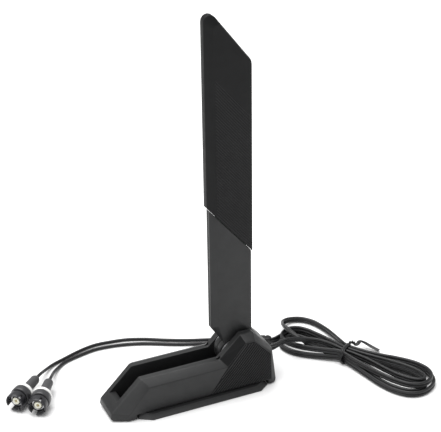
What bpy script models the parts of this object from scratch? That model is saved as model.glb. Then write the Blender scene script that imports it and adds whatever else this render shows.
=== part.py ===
"""Folding desktop aerial: a flat blade that folds into a slotted foot, with a twin coax cable.

Metres, +Z up. The origin is the middle of the foot on the surface it stands on. +X runs from
the foot's nose to its hinge, and the blade folds forward about the hinge axis, parallel to Y.
"""
import math

import bmesh
import bpy
from mathutils import Matrix, Vector

MM = 0.001
GAP = 0.3 * MM              # space left between two pieces that touch

# Foot
NOSE_X = -47.0 * MM
REAR_X = 47.3 * MM
REAR_HALF_WIDTH = 11.4 * MM # the band is wider where it runs down the rear
TOP_HALF_WIDTH = 8.5 * MM   # the flat top band; wide bevels run down from it
WAIST_Z = 18.5 * MM         # height at which the side wall starts to lean in
WAIST_HALF_WIDTH = 13.5 * MM
SOLE_HALF_WIDTH = 12.2 * MM
RIM_Z = 21.5 * MM
CHEEK_TOP_Z = 33.6 * MM
NOSE_EDGE_X = -46.3 * MM    # the nose slope runs from here up to the rim
NOSE_EDGE_Z = 5.0 * MM
RIM_FRONT_X = -29.4 * MM
BODY_FLOOR_Z = 3.0 * MM     # underside of the housing, above the plate
END_FLOOR_Z = 0.3 * MM      # the nose and the rear come down lower, in front of and behind the plate
NOSE_BLOCK_X = -33.5 * MM
REAR_BLOCK_X = 42.4 * MM
SLOT_HALF_WIDTH = 5.3 * MM
SLOT_FLOOR_Z = 4.2 * MM
SLOT_LIP_Z = 8.9 * MM
LIP_BACK_X = -38.8 * MM      # the lip is flat up to here, then drops to the slot's floor
SLOT_BACK_X = 38.6 * MM
PLATE_HALF_WIDTH = 16.3 * MM
PLATE_BOTTOM_Z = 0.1 * MM
PLATE_TOP_Z = 2.7 * MM
SCREW_PLACES = [(-29.3 * MM, 8.6 * MM), (16.0 * MM, 8.8 * MM)]
WALL_INNER_Y = 6.4 * MM     # the slot's own walls end here
WALL_OUTER_Y = 11.2 * MM    # the outer walls start here

# Hinge
HINGE_X = 25.5 * MM
HINGE_Z = 21.0 * MM
KNUCKLE_RADIUS = 8.2 * MM
BUSH_RADIUS = 3.4 * MM
BUSH_BORE = 1.9 * MM
RUNNING_GAP = 0.15 * MM

# Blade
SLEEVE_FRONT_X = HINGE_X - 13.0 * MM
SLEEVE_BACK_X = HINGE_X + 12.25 * MM
SLEEVE_HALF_THICK = 4.0 * MM
SLEEVE_EDGE_HALF = 1.95 * MM
NECK_FRONT_X = HINGE_X - 11.7 * MM
NECK_BACK_X = HINGE_X + 11.6 * MM
NECK_HALF_THICK = 3.6 * MM
NECK_EDGE_HALF = 1.75 * MM
STEP_FRONT_Z = 108.1 * MM   # the sleeve's slanted lower edge, at its front corner
STEP_SLOPE = 1.172
TIP_FRONT_Z = 215.6 * MM    # where the slanted top would meet the front edge, before rounding
TIP_SLOPE = 1.28
POCKET_HALF = 2.1 * MM
SLEEVE_POCKET_HALF = 2.7 * MM
BOARD_HALF = 0.5 * MM

# Cable
CABLE_EXIT_Z = 14.5 * MM
RELIEF_END_X = 49.2 * MM
TWIN_RADIUS = 1.5 * MM
LEAD_RADIUS = 0.9 * MM
TAIL_RADIUS = 0.55 * MM
FEWEST_PIECES = 8           # segments in even the shortest stretch of cable
TWIN_IN_ROUTE = [(49.6, 0.0, 14.5), (51.5, 0.3, 14.4), (54.6, 2.1, 13.8), (57.5, 4.1, 13.1),
                 (61.7, 6.2, 11.6), (63.6, 7.2, 9.2), (65.3, 8.8, 6.8)]
TWIN_OUT_ROUTE = [(63.8, 23.5, 2.8), (63.2, 23.8, 2.7), (62.6, 24.1, 2.6)]
LEAD_A_ROUTE = [(49.8, 31.5, 2.4), (47.1, 32.8, 2.2), (42.0, 36.2, 1.2), (36.0, 40.2, 0.95),
                (29.0, 43.2, 0.95), (22.0, 46.0, 0.95), (14.0, 49.8, 0.95), (6.0, 54.2, 0.95),
                (-1.5, 58.6, 0.95), (-11.0, 62.6, 0.95), (-20.0, 64.3, 0.95),
                (-29.0, 65.0, 0.95), (-36.0, 63.8, 0.95), (-43.0, 61.6, 0.95),
                (-50.0, 58.8, 0.95), (-57.0, 55.8, 1.1), (-62.9, 50.9, 2.2),
                (-66.6, 46.2, 4.0), (-69.1, 42.8, 5.2), (-71.25, 40.35, 5.6)]
LEAD_B_ROUTE = [(48.7, 29.3, 2.4), (46.0, 30.6, 2.2), (40.5, 33.3, 1.2), (34.0, 36.6, 0.95),
                (27.0, 39.6, 0.95), (20.0, 42.4, 0.95), (12.0, 46.0, 0.95), (4.0, 50.4, 0.95),
                (-4.0, 54.6, 0.95), (-13.0, 57.9, 0.95), (-22.0, 59.9, 0.95),
                (-31.0, 60.5, 0.95), (-38.0, 59.2, 0.95), (-44.5, 57.5, 0.95),
                (-50.7, 55.2, 0.95), (-56.4, 50.6, 1.3), (-60.3, 45.4, 2.6),
                (-62.9, 40.2, 4.4), (-64.6, 37.0, 5.3), (-65.9, 34.7, 5.6)]
HANK_CENTRE = (94.8 * MM, -12.3 * MM)
HANK_TURN = math.radians(-62.0)
HANK_HALF_LENGTH = 50.0 * MM
HANK_LOBE_HALF = 15.0 * MM
HANK_WAIST_HALF = 5.8 * MM
HANK_WAIST_AT = -5.0 * MM   # the waist lies nearer the end where the cable comes in
HANK_PINCH = 14.0 * MM      # how far from the waist the sides reach full width
HANK_BOTTOM_Z = 1.2 * MM
HANK_TOP_Z = 9.0 * MM
SPLITTER_CENTRE = (55.9 * MM, 27.3 * MM, 2.4 * MM)
SPLITTER_HALF = (7.0 * MM, 2.6 * MM, 2.2 * MM)
SPLITTER_TURN = math.radians(155.0)

# Plugs: the middle of the boot's back end, the direction the mouth faces, and the roll
PLUG_AXIS_Z = 5.6 * MM
PLUG_LENGTH = 25.5 * MM
PLUGS = {"a": ((-71.45 * MM, 40.15 * MM), math.radians(225.0), math.radians(-41.0)),
         "b": ((-66.05 * MM, 34.4 * MM), math.radians(237.0), math.radians(-25.0))}

COLOURS = {
    "black_plastic": ((0.045, 0.047, 0.048), 0.55, 0.0),
    "sleeve_plastic": ((0.027, 0.028, 0.029), 0.5, 0.0),
    "steel": ((0.55, 0.55, 0.56), 0.35, 1.0),
    "pad_rubber": ((0.02, 0.02, 0.02), 0.9, 0.0),
    "bush_plastic": ((0.7, 0.69, 0.64), 0.5, 0.0),
    "board": ((0.02, 0.13, 0.06), 0.5, 0.0),
    "copper": ((0.72, 0.38, 0.22), 0.35, 1.0),
    "cable_jacket": ((0.03, 0.031, 0.033), 0.45, 0.0),
    "boot_rubber": ((0.14, 0.14, 0.145), 0.6, 0.0),
    "white_plastic": ((0.85, 0.85, 0.84), 0.4, 0.0),
    "collar_plastic": ((0.1, 0.1, 0.105), 0.45, 0.0),
    "skirt_plastic": ((0.06, 0.06, 0.065), 0.4, 0.0),
    "insulator": ((0.86, 0.85, 0.74), 0.4, 0.0),
    "gold": ((0.75, 0.6, 0.3), 0.3, 1.0),
}


def clear_scene():
    for item in list(bpy.data.objects):
        bpy.data.objects.remove(item, do_unlink=True)


def material(slot):
    found = bpy.data.materials.get(slot)
    if found:
        return found
    colour, roughness, metallic = COLOURS[slot]
    made = bpy.data.materials.new(slot)
    made.use_nodes = True
    shader = made.node_tree.nodes["Principled BSDF"]
    shader.inputs["Base Color"].default_value = (*colour, 1.0)
    shader.inputs["Roughness"].default_value = roughness
    shader.inputs["Metallic"].default_value = metallic
    return made


def add_object(name, data, slot=None):
    made = bpy.data.objects.new(name, data)
    bpy.context.scene.collection.objects.link(made)
    if slot:
        data.materials.append(material(slot))
    return made


def mesh_object(name, points, faces, slot=None):
    """One object from points and faces, its faces turned outwards."""
    mesh = bpy.data.meshes.new(name)
    mesh.from_pydata([tuple(point) for point in points], [], faces)
    shape = bmesh.new()
    shape.from_mesh(mesh)
    bmesh.ops.recalc_face_normals(shape, faces=shape.faces)
    shape.to_mesh(mesh)
    shape.free()
    return add_object(name, mesh, slot)


def loft(name, loops, slot=None, caps=None):
    """A solid through loops of equally many points, closed by caps (lists of point numbers)."""
    count = len(loops[0])
    points = [point for loop in loops for point in loop]
    faces = []
    for step in range(len(loops) - 1):
        here, there = step * count, (step + 1) * count
        for i in range(count):
            j = (i + 1) % count
            faces.append((here + i, here + j, there + j, there + i))
    last = (len(loops) - 1) * count
    for cap in caps or [list(range(count))]:
        faces.append(tuple(cap))
        faces.append(tuple(last + i for i in cap))
    return mesh_object(name, points, faces, slot)


def prism(name, outline, low_y, high_y, slot=None):
    """An outline in X and Z, drawn out along Y."""
    loops = [[(x, y, z) for x, z in outline] for y in (low_y, high_y)]
    return loft(name, loops, slot)


def slab(name, outline, low_z, high_z, slot=None):
    """An outline in X and Y, drawn out along Z."""
    loops = [[(x, y, z) for x, y in outline] for z in (low_z, high_z)]
    return loft(name, loops, slot)


def box(name, low, high, slot=None):
    outline = [(low[0], low[1]), (high[0], low[1]), (high[0], high[1]), (low[0], high[1])]
    return slab(name, outline, low[2], high[2], slot)


def turned(name, profile, slot=None, sides=32):
    """A body turned about its own Z axis from a profile of (radius, height), closed on the axis."""
    points, rings, faces = [], [], []
    for radius, height in profile:
        if radius < 1e-9:
            rings.append([len(points)])
            points.append((0.0, 0.0, height))
            continue
        ring = []
        for i in range(sides):
            angle = 2 * math.pi * i / sides
            ring.append(len(points))
            points.append((radius * math.cos(angle), radius * math.sin(angle), height))
        rings.append(ring)
    for one, two in zip(rings, rings[1:] + rings[:1]):
        if len(one) == 1 and len(two) == 1:
            continue
        for i in range(sides):
            j = (i + 1) % sides
            corners = [one[i % len(one)], one[j % len(one)], two[j % len(two)], two[i % len(two)]]
            faces.append(tuple(dict.fromkeys(corners)))
    made = mesh_object(name, points, faces, slot)
    smooth(made)
    return made


def smooth(item, angle=35.0):
    item.data.shade_smooth()
    item.data.set_sharp_from_angle(angle=math.radians(angle))


def place(item, location, rotation=None):
    item.matrix_world = Matrix.Translation(location) @ (rotation or Matrix.Identity(4))
    return item


def cut(item, cutter):
    combine(item, cutter, "DIFFERENCE")


def combine(item, other, operation):
    change = item.modifiers.new(operation.lower(), "BOOLEAN")
    change.operation = operation
    change.object = other
    change.solver = "EXACT"
    other.hide_render = True
    other.display_type = "WIRE"


def rounded(corners, segments=4):
    """Corners (x, z, radius) as an outline whose corners are arcs; each gives segments + 1 points."""
    outline = []
    count = len(corners)
    for i, (x, z, radius) in enumerate(corners):
        corner = Vector((x, z))
        before = (Vector(corners[i - 1][:2]) - corner).normalized()
        after = (Vector(corners[(i + 1) % count][:2]) - corner).normalized()
        if radius <= 0:
            outline.append((x, z))
            continue
        half = before.angle(after) / 2
        centre = corner + (before + after).normalized() * (radius / math.sin(half))
        start = corner + before * (radius / math.tan(half)) - centre
        end = corner + after * (radius / math.tan(half)) - centre
        sweep = start.angle_signed(end)
        for step in range(segments + 1):
            turn = -sweep * step / segments
            spoke = Vector((start.x * math.cos(turn) - start.y * math.sin(turn),
                            start.x * math.sin(turn) + start.y * math.cos(turn)))
            outline.append(tuple(centre + spoke))
    return outline


def smooth_route(route, spacing):
    """Points evenly spaced along a smooth curve through the route's points (in millimetres)."""
    knots = [Vector(point) * MM for point in route]
    ends = [knots[0] * 2 - knots[1]] + knots + [knots[-1] * 2 - knots[-2]]
    fine = []
    for p0, p1, p2, p3 in zip(ends, ends[1:], ends[2:], ends[3:]):
        for step in range(24):
            t = step / 24
            fine.append(0.5 * (2 * p1 + (p2 - p0) * t + (2 * p0 - 5 * p1 + 4 * p2 - p3) * t ** 2
                               + (3 * p1 - p0 - 3 * p2 + p3) * t ** 3))
    fine.append(knots[-1])
    lengths = [0.0]
    for one, two in zip(fine, fine[1:]):
        lengths.append(lengths[-1] + (two - one).length)
    pieces = max(FEWEST_PIECES, round(lengths[-1] / spacing))
    points, at = [], 0
    for piece in range(pieces + 1):
        target = lengths[-1] * piece / pieces
        while at < len(fine) - 2 and lengths[at + 1] < target:
            at += 1
        share = (target - lengths[at]) / (lengths[at + 1] - lengths[at])
        points.append(fine[at].lerp(fine[at + 1], min(1.0, share)))
    return points


def tube(name, route, radius, slot):
    points = smooth_route(route, 2.6 * 2 * radius)
    curve = bpy.data.curves.new(name, "CURVE")
    curve.dimensions = "3D"
    curve.bevel_depth = radius
    curve.bevel_resolution = 2
    curve.use_fill_caps = True
    spline = curve.splines.new("POLY")
    spline.points.add(len(points) - 1)
    for spot, point in zip(spline.points, points):
        spot.co = (*point, 1.0)
    return add_object(name, curve, slot)


def side_wall_y(z):
    """Half width of the housing's side wall at a height."""
    lean = (WAIST_HALF_WIDTH - SOLE_HALF_WIDTH) / WAIST_Z
    return min(WAIST_HALF_WIDTH, SOLE_HALF_WIDTH + lean * z)


def screw_spots():
    return [(x, side * y) for x, y in SCREW_PLACES for side in (-1, 1)]


def make_housing():
    """The foot: a faceted side profile with wide bevels, cut by the slot and hollowed below."""
    under = [(REAR_BLOCK_X, END_FLOOR_Z), (REAR_BLOCK_X, BODY_FLOOR_Z),
             (NOSE_BLOCK_X, BODY_FLOOR_Z), (NOSE_BLOCK_X, END_FLOOR_Z)]
    top_band = [(-45.8 * MM, END_FLOOR_Z), (NOSE_X, 2.0 * MM), (NOSE_EDGE_X, NOSE_EDGE_Z),
                (RIM_FRONT_X, RIM_Z), (14.9 * MM, RIM_Z), (27.6 * MM, CHEEK_TOP_Z),
                (34.7 * MM, CHEEK_TOP_Z), (46.3 * MM, 20.6 * MM), (46.5 * MM, WAIST_Z),
                (REAR_X, 2.2 * MM), (46.9 * MM, END_FLOOR_Z)] + under
    half_widths = [TOP_HALF_WIDTH] * 9 + [REAR_HALF_WIDTH] * 4 + [TOP_HALF_WIDTH] * 2
    side = [(-38.2 * MM, END_FLOOR_Z), (-38.9 * MM, 2.2 * MM), (-37.9 * MM, 4.0 * MM),
            (-26.3 * MM, WAIST_Z), (17.8 * MM, WAIST_Z), (28.7 * MM, 30.9 * MM),
            (33.6 * MM, 30.9 * MM), (43.4 * MM, 21.3 * MM), (43.6 * MM, WAIST_Z),
            (44.5 * MM, 2.2 * MM), (44.2 * MM, END_FLOOR_Z)] + under
    loops = [[(x, -side_wall_y(z), z) for x, z in side],
             [(x, -half, z) for (x, z), half in zip(top_band, half_widths)],
             [(x, half, z) for (x, z), half in zip(top_band, half_widths)],
             [(x, side_wall_y(z), z) for x, z in side]]
    housing = loft("foot_housing", loops, "black_plastic",
                   caps=[[4, 5, 6, 7, 8], [0, 1, 2, 3, 4, *range(8, 15)]])

    slot = [(-60 * MM, SLOT_LIP_Z), (LIP_BACK_X, SLOT_LIP_Z),
            (LIP_BACK_X + 2.3 * MM, SLOT_FLOOR_Z),
            (SLOT_BACK_X, SLOT_FLOOR_Z), (SLOT_BACK_X, 60 * MM), (-60 * MM, 60 * MM)]
    cut(housing, prism("cut_slot", slot, -SLOT_HALF_WIDTH, SLOT_HALF_WIDTH))

    cheek = [(20.5 * MM, 1 * MM), (20.5 * MM, 22.4 * MM), (27.0 * MM, 28.4 * MM),
             (34.0 * MM, 28.4 * MM), (42.0 * MM, 20.5 * MM), (43.4 * MM, 16 * MM),
             (43.4 * MM, 5.5 * MM), (40.2 * MM, 5.5 * MM), (40.2 * MM, 1 * MM)]
    for hand, low, high in (("near", -WALL_OUTER_Y, -WALL_INNER_Y),
                            ("far", WALL_INNER_Y, WALL_OUTER_Y)):
        cut(housing, prism("cut_cheek_" + hand, cheek, low, high))
        cut(housing, box("cut_ballast_" + hand, (-24 * MM, low, 1 * MM), (11.5 * MM, high, 16.3 * MM)))
    cut(housing, box("cut_cable_chamber", (39.9 * MM, -7 * MM, 5.5 * MM), (43.4 * MM, 7 * MM, 17 * MM)))

    bore = turned("cut_hinge_bore", bar_profile(BUSH_RADIUS + RUNNING_GAP, 16 * MM))
    cut(housing, place(bore, (HINGE_X, 8 * MM, HINGE_Z), Matrix.Rotation(math.pi / 2, 4, "X")))
    mouth = [(y, CABLE_EXIT_Z + z) for y, z in rounded_box(2.3 * MM, 2.9 * MM, 1.6 * MM)]
    opening = loft("cut_cable_mouth", [[(x, y, z) for y, z in mouth] for x in (42 * MM, 48 * MM)])
    cut(housing, opening)
    for number, (x, y) in enumerate(screw_spots()):
        hole = turned(f"cut_screw_{number}", bar_profile(1.3 * MM, 12 * MM), sides=16)
        cut(housing, place(hole, (x, y, 0)))


def bar_profile(radius, length):
    return [(0, 0), (radius, 0), (radius, length), (0, length)]


def rounded_box(half_wide, half_high, radius):
    corners = [(-half_wide, -half_high, radius), (half_wide, -half_high, radius),
               (half_wide, half_high, radius), (-half_wide, half_high, radius)]
    return rounded(corners, 3)


def make_plate():
    """The flange under the housing, its edge bevelled, with a recess for the pad."""
    def outline(inset):
        corners = [(-33.0, 12.0), (-26.4, 16.3), (36.2, 16.3), (41.8, 12.2)]
        shrink = (PLATE_HALF_WIDTH - inset) / PLATE_HALF_WIDTH
        near = [(x * MM * (1 - inset / (40 * MM)), -y * MM * shrink) for x, y in corners]
        return near + [(x, -y) for x, y in reversed(near)]

    levels = [(PLATE_BOTTOM_Z, 0.1 * MM), (0.5 * MM, 0.0), (2.2 * MM, 1.6 * MM), (PLATE_TOP_Z, 1.9 * MM)]
    loops = [[(x, y, z) for x, y in outline(inset)] for z, inset in levels]
    plate = loft("foot_plate", loops, "black_plastic")
    cut(plate, slab("cut_pad_recess", pad_outline(GAP), -1 * MM, 1.2 * MM))
    for number, (x, y) in enumerate(screw_spots()):
        hole = turned(f"cut_plate_hole_{number}", bar_profile(1.3 * MM, 6 * MM), sides=16)
        cut(plate, place(hole, (x, y, 0)))
    slab("foot_pad", pad_outline(0.0), 0, 0.9 * MM, "pad_rubber")


def pad_outline(grow):
    near = [(-30.0 * MM - grow, -10.4 * MM), (-26.6 * MM, -13.0 * MM - grow),
            (34.6 * MM, -13.0 * MM - grow), (38.4 * MM + grow, -10.4 * MM)]
    return near + [(x, -y) for x, y in reversed(near)]


def make_screws():
    """Four screws that hold the plate; the pad hides their heads."""
    for number, (x, y) in enumerate(screw_spots(), 1):
        profile = [(0, 3.2 * MM), (0.95 * MM, 3.2 * MM), (0.95 * MM, 9.5 * MM), (0, 9.9 * MM)]
        screw = turned(f"plate_screw_{number}", profile, "steel", sides=16)
        place(screw, (x, y, 0))


def make_ballast():
    for hand, side in (("near", -1), ("far", 1)):
        inner, outer = WALL_INNER_Y + GAP, WALL_OUTER_Y - GAP
        low_y, high_y = sorted((side * inner, side * outer))
        box(f"ballast_bar_{hand}", (-23.5 * MM, low_y, 3.2 * MM), (11.0 * MM, high_y, 15.9 * MM),
            "steel")


def arc_points(radius, start, end, count):
    """Points of an arc about the hinge axis, angles in degrees from +X towards +Z."""
    points = []
    for step in range(count):
        angle = math.radians(start + (end - start) * step / (count - 1))
        points.append((HINGE_X + radius * math.cos(angle), HINGE_Z + radius * math.sin(angle)))
    return points


def neck_outline(front_x, back_x):
    """The neck's side view: slanted top, cut-back lower front, and the round knuckle."""
    def top(x):
        return STEP_FRONT_Z - STEP_SLOPE * (x - SLEEVE_FRONT_X) - GAP

    front_low = 37.4 * MM + 0.3 * (front_x - NECK_FRONT_X)
    return ([(back_x, top(back_x)), (front_x, top(front_x)), (front_x, front_low)]
            + arc_points(KNUCKLE_RADIUS, 128, 360, 15) + [(back_x, 28.0 * MM)])


def make_neck_half(name, side):
    """One half shell of the neck, parted down the middle, with rails that carry the sleeve."""
    full = neck_outline(NECK_FRONT_X, NECK_BACK_X)
    flat = neck_outline(NECK_FRONT_X + 3.8 * MM, NECK_BACK_X - 0.7 * MM)
    loops = [[(x, side * y, z) for x, z in outline]
             for y, outline in ((GAP / 2, full), (NECK_EDGE_HALF, full), (NECK_HALF_THICK, flat))]
    half = loft(name, loops, "black_plastic")
    depth = side * POCKET_HALF
    low, high = sorted((-side * MM, depth))
    cut(half, box(f"cut_{name}_pocket", (17 * MM, low, 42 * MM), (35.5 * MM, high, 130 * MM)))
    cut(half, box(f"cut_{name}_channel", (22.4 * MM, low, 17.8 * MM), (28.6 * MM, high, 43 * MM)))
    bore = turned(f"cut_{name}_bore", bar_profile(BUSH_RADIUS + RUNNING_GAP, 8 * MM))
    turn = Matrix.Rotation(math.pi / 2 * -side, 4, "X")
    cut(half, place(bore, (HINGE_X, side * MM, HINGE_Z), turn))
    low, high = sorted((side * 0.85 * MM, side * 2.4 * MM))
    for rail, left in (("front", 17.4 * MM), ("back", 28.8 * MM)):
        right = left + 4.8 * MM
        combine(half, box(f"add_{name}_{rail}_rail", (left, low, 66 * MM), (right, high, 125 * MM)),
                "UNION")


def sleeve_outline(front_x, back_x, drop, tip_radius, back_radius):
    """The sleeve's side view: slanted bottom, and a slanted top with rounded corners."""
    def bottom(x):
        return STEP_FRONT_Z - STEP_SLOPE * (x - SLEEVE_FRONT_X)

    def top(x):
        return TIP_FRONT_Z - TIP_SLOPE * (x - SLEEVE_FRONT_X) - drop

    return rounded([(front_x, bottom(front_x), 0), (back_x, bottom(back_x), 0),
                    (back_x, top(back_x), back_radius), (front_x, top(front_x), tip_radius)], 5)


def make_sleeve():
    edge = sleeve_outline(SLEEVE_FRONT_X, SLEEVE_BACK_X, 0.0, 3.5 * MM, 4.0 * MM)
    face = sleeve_outline(SLEEVE_FRONT_X + 4.2 * MM, SLEEVE_BACK_X - 0.8 * MM, 1.3 * MM,
                          2.4 * MM, 3.4 * MM)
    sections = ((-SLEEVE_HALF_THICK, face), (-SLEEVE_EDGE_HALF, edge),
                (SLEEVE_EDGE_HALF, edge), (SLEEVE_HALF_THICK, face))
    loops = [[(x, y, z) for x, z in outline] for y, outline in sections]
    sleeve = loft("sleeve", loops, "sleeve_plastic")
    pocket = [(17.0 * MM, 70 * MM), (36.4 * MM, 70 * MM), (36.4 * MM, 180.5 * MM),
              (17.0 * MM, 204.6 * MM)]
    cut(sleeve, prism("cut_sleeve_pocket", pocket, -SLEEVE_POCKET_HALF, SLEEVE_POCKET_HALF))


def make_aerial_board():
    """The printed board, and a copper radiator on each face fed by its own coax tail."""
    board = [(18 * MM, 46 * MM), (35 * MM, 46 * MM), (35 * MM, 179.5 * MM), (18 * MM, 201 * MM)]
    prism("aerial_board", board, -BOARD_HALF, BOARD_HALF, "board")
    inner, outer = BOARD_HALF + GAP, BOARD_HALF + 0.55 * MM
    lower = [(24 * MM, 129 * MM), (27 * MM, 129 * MM), (27 * MM, 135 * MM), (33 * MM, 139 * MM),
             (33 * MM, 158 * MM), (19.5 * MM, 158 * MM), (19.5 * MM, 150 * MM),
             (28 * MM, 150 * MM), (28 * MM, 144 * MM), (24 * MM, 140 * MM)]
    prism("radiator_lower", lower, -outer, -inner, "copper")
    upper = [(24 * MM, 163 * MM), (27 * MM, 163 * MM), (27 * MM, 168 * MM), (33.5 * MM, 172 * MM),
             (33.5 * MM, 178 * MM), (20 * MM, 195 * MM), (20 * MM, 184 * MM), (24 * MM, 178 * MM)]
    prism("radiator_upper", upper, inner, outer, "copper")


def make_hinge():
    """Hollow flanged bushes that the coax tails pass through, and the friction washers."""
    for hand, side in (("near", -1), ("far", 1)):
        turn = Matrix.Rotation(math.pi / 2 * -side, 4, "X")
        middle = (HINGE_X, 0, HINGE_Z)
        bush = turned(f"hinge_bush_{hand}",
                      [(BUSH_BORE, 2.4 * MM), (BUSH_RADIUS, 2.4 * MM), (BUSH_RADIUS, 6.7 * MM),
                       (4.3 * MM, 6.7 * MM), (4.3 * MM, 7.7 * MM), (BUSH_BORE, 7.7 * MM)],
                      "bush_plastic")
        place(bush, middle, turn)
        washer = turned(f"friction_washer_{hand}",
                        [(BUSH_RADIUS + GAP, 3.9 * MM), (7.4 * MM, 3.9 * MM), (7.4 * MM, 5.0 * MM),
                         (BUSH_RADIUS + GAP, 5.0 * MM)], "steel")
        place(washer, middle, turn)


def make_inner_coax():
    """The tails inside the blade, and the links from the hinge to the strain relief."""
    x, z = HINGE_X / MM, HINGE_Z / MM
    for letter, side, top in (("a", -1, 128.6), ("b", 1, 162.6)):
        down = [(x, side * 1.42, top), (x, side * 1.42, top - 30), (x, side * 1.42, 70),
                (x, side * 1.42, 40), (x, side * 1.42, 27), (x, side * 1.5, 24),
                (x, side * 2.3, 21.9), (x, side * 4.0, z), (x, side * 6.0, z), (x, side * 7.9, z)]
        tube(f"coax_tail_{letter}", down, TAIL_RADIUS, "cable_jacket")
        level = CABLE_EXIT_Z / MM + side * 0.9
        back = [(x, side * 8.3, z), (x + 0.1, side * 8.9, z), (x + 1.2, side * 9.8, z - 0.4),
                (x + 4, side * 10.0, 19.0), (x + 8, side * 9.6, 16.2),
                (x + 12.6, side * 8.8, 14.4), (x + 15.3, side * 7.4, 14.3),
                (x + 16.3, side * 5.2, 14.3), (x + 16.7, side * 3.0, level),
                (x + 17.3, side * 1.0, level), (x + 18.4, side * 0.1, level),
                (x + 20.6, 0, level), (x + 23.0, 0, level)]
        tube(f"coax_link_{letter}", back, TAIL_RADIUS, "cable_jacket")


def make_strain_relief():
    """A soft tapered sleeve through the back wall, flanged on the outside."""
    def ring(x, half_y, half_z, radius):
        return [(x, y, CABLE_EXIT_Z + z) for y, z in rounded_box(half_y, half_z, radius)]

    wall_y, wall_z = 2.0 * MM, 2.6 * MM
    loops = [ring(44.0 * MM, wall_y, wall_z, 1.4 * MM), ring(47.15 * MM, wall_y, wall_z, 1.4 * MM),
             ring(47.2 * MM, 2.7 * MM, 3.3 * MM, 1.8 * MM),
             ring(47.9 * MM, 2.7 * MM, 3.3 * MM, 1.8 * MM),
             ring(48.0 * MM, 2.0 * MM, 2.6 * MM, 1.5 * MM),
             ring(RELIEF_END_X, 1.6 * MM, 2.3 * MM, 1.2 * MM)]
    relief = loft("strain_relief", loops, "boot_rubber")
    channel = rounded_box(0.9 * MM, 1.85 * MM, 0.8 * MM)
    sides = [[(x, y, CABLE_EXIT_Z + z) for y, z in channel] for x in (40 * MM, 56 * MM)]
    cut(relief, loft("cut_relief_channel", sides))


def hank_half_width(along):
    """Half width of the tied hank at a place along it: two open loops and a tight waist."""
    to_waist = (along - HANK_WAIST_AT) / HANK_PINCH
    spread = 1 - math.exp(-to_waist ** 2)
    return HANK_WAIST_HALF + (HANK_LOBE_HALF - HANK_WAIST_HALF) * spread


def make_hank():
    """The outer shape of the folded cable: long sides that pinch at the tie, and round ends."""
    near = []
    straight = HANK_HALF_LENGTH - HANK_LOBE_HALF
    for step in range(17):
        along = -straight + 2 * straight * step / 16
        near.append((along, -hank_half_width(along)))
    end = hank_half_width(straight)
    cap = [(straight + end * math.sin(math.radians(a)), -end * math.cos(math.radians(a)))
           for a in range(20, 180, 20)]
    start = hank_half_width(-straight)
    tail = [(-straight - start * math.sin(math.radians(a)), start * math.cos(math.radians(a)))
            for a in range(20, 180, 20)]
    outline = near + cap + [(x, -y) for x, y in reversed(near)] + tail
    hank = slab("twin_hank", outline, HANK_BOTTOM_Z, HANK_TOP_Z, "cable_jacket")
    place(hank, (*HANK_CENTRE, 0), Matrix.Rotation(HANK_TURN, 4, "Z"))

    inner_half, inner_low, inner_high = HANK_WAIST_HALF + 0.7 * MM, 0.85 * MM, HANK_TOP_Z + GAP
    outer_half, outer_low, outer_high = inner_half + 0.7 * MM, 0.1 * MM, inner_high + 0.7 * MM
    width = 1.6 * MM
    band = box("twist_tie", (-width, -outer_half, outer_low), (width, outer_half, outer_high),
               "cable_jacket")
    hollow = box("cut_tie_hollow", (-2 * width, -inner_half, inner_low),
                 (2 * width, inner_half, inner_high))
    tail = box("add_tie_tail", (-width, outer_half - 0.3 * MM, outer_high - 2.6 * MM),
               (width, outer_half + 14 * MM, outer_high - 1.9 * MM))
    spin = Matrix.Rotation(HANK_TURN, 4, "Z")
    middle = Vector((*HANK_CENTRE, 0)) + spin @ Vector((HANK_WAIST_AT, 0, 0))
    for piece in (band, hollow, tail):
        place(piece, middle, spin)
    cut(band, hollow)
    combine(band, tail, "UNION")


def make_splitter():
    """The moulded block where the twin cable becomes two leads."""
    half_x, half_y, half_z = SPLITTER_HALF
    sections = ((-half_x, 0.72), (-half_x + 1.6 * MM, 1.0), (half_x - 1.6 * MM, 1.0), (half_x, 0.72))
    loops = []
    for x, share in sections:
        shape = rounded_box(half_y * share, half_z * share, 1.2 * MM * share)
        loops.append([(x, y, z) for y, z in shape])
    splitter = loft("splitter", loops, "cable_jacket")
    place(splitter, SPLITTER_CENTRE, Matrix.Rotation(SPLITTER_TURN, 4, "Z"))


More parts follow.
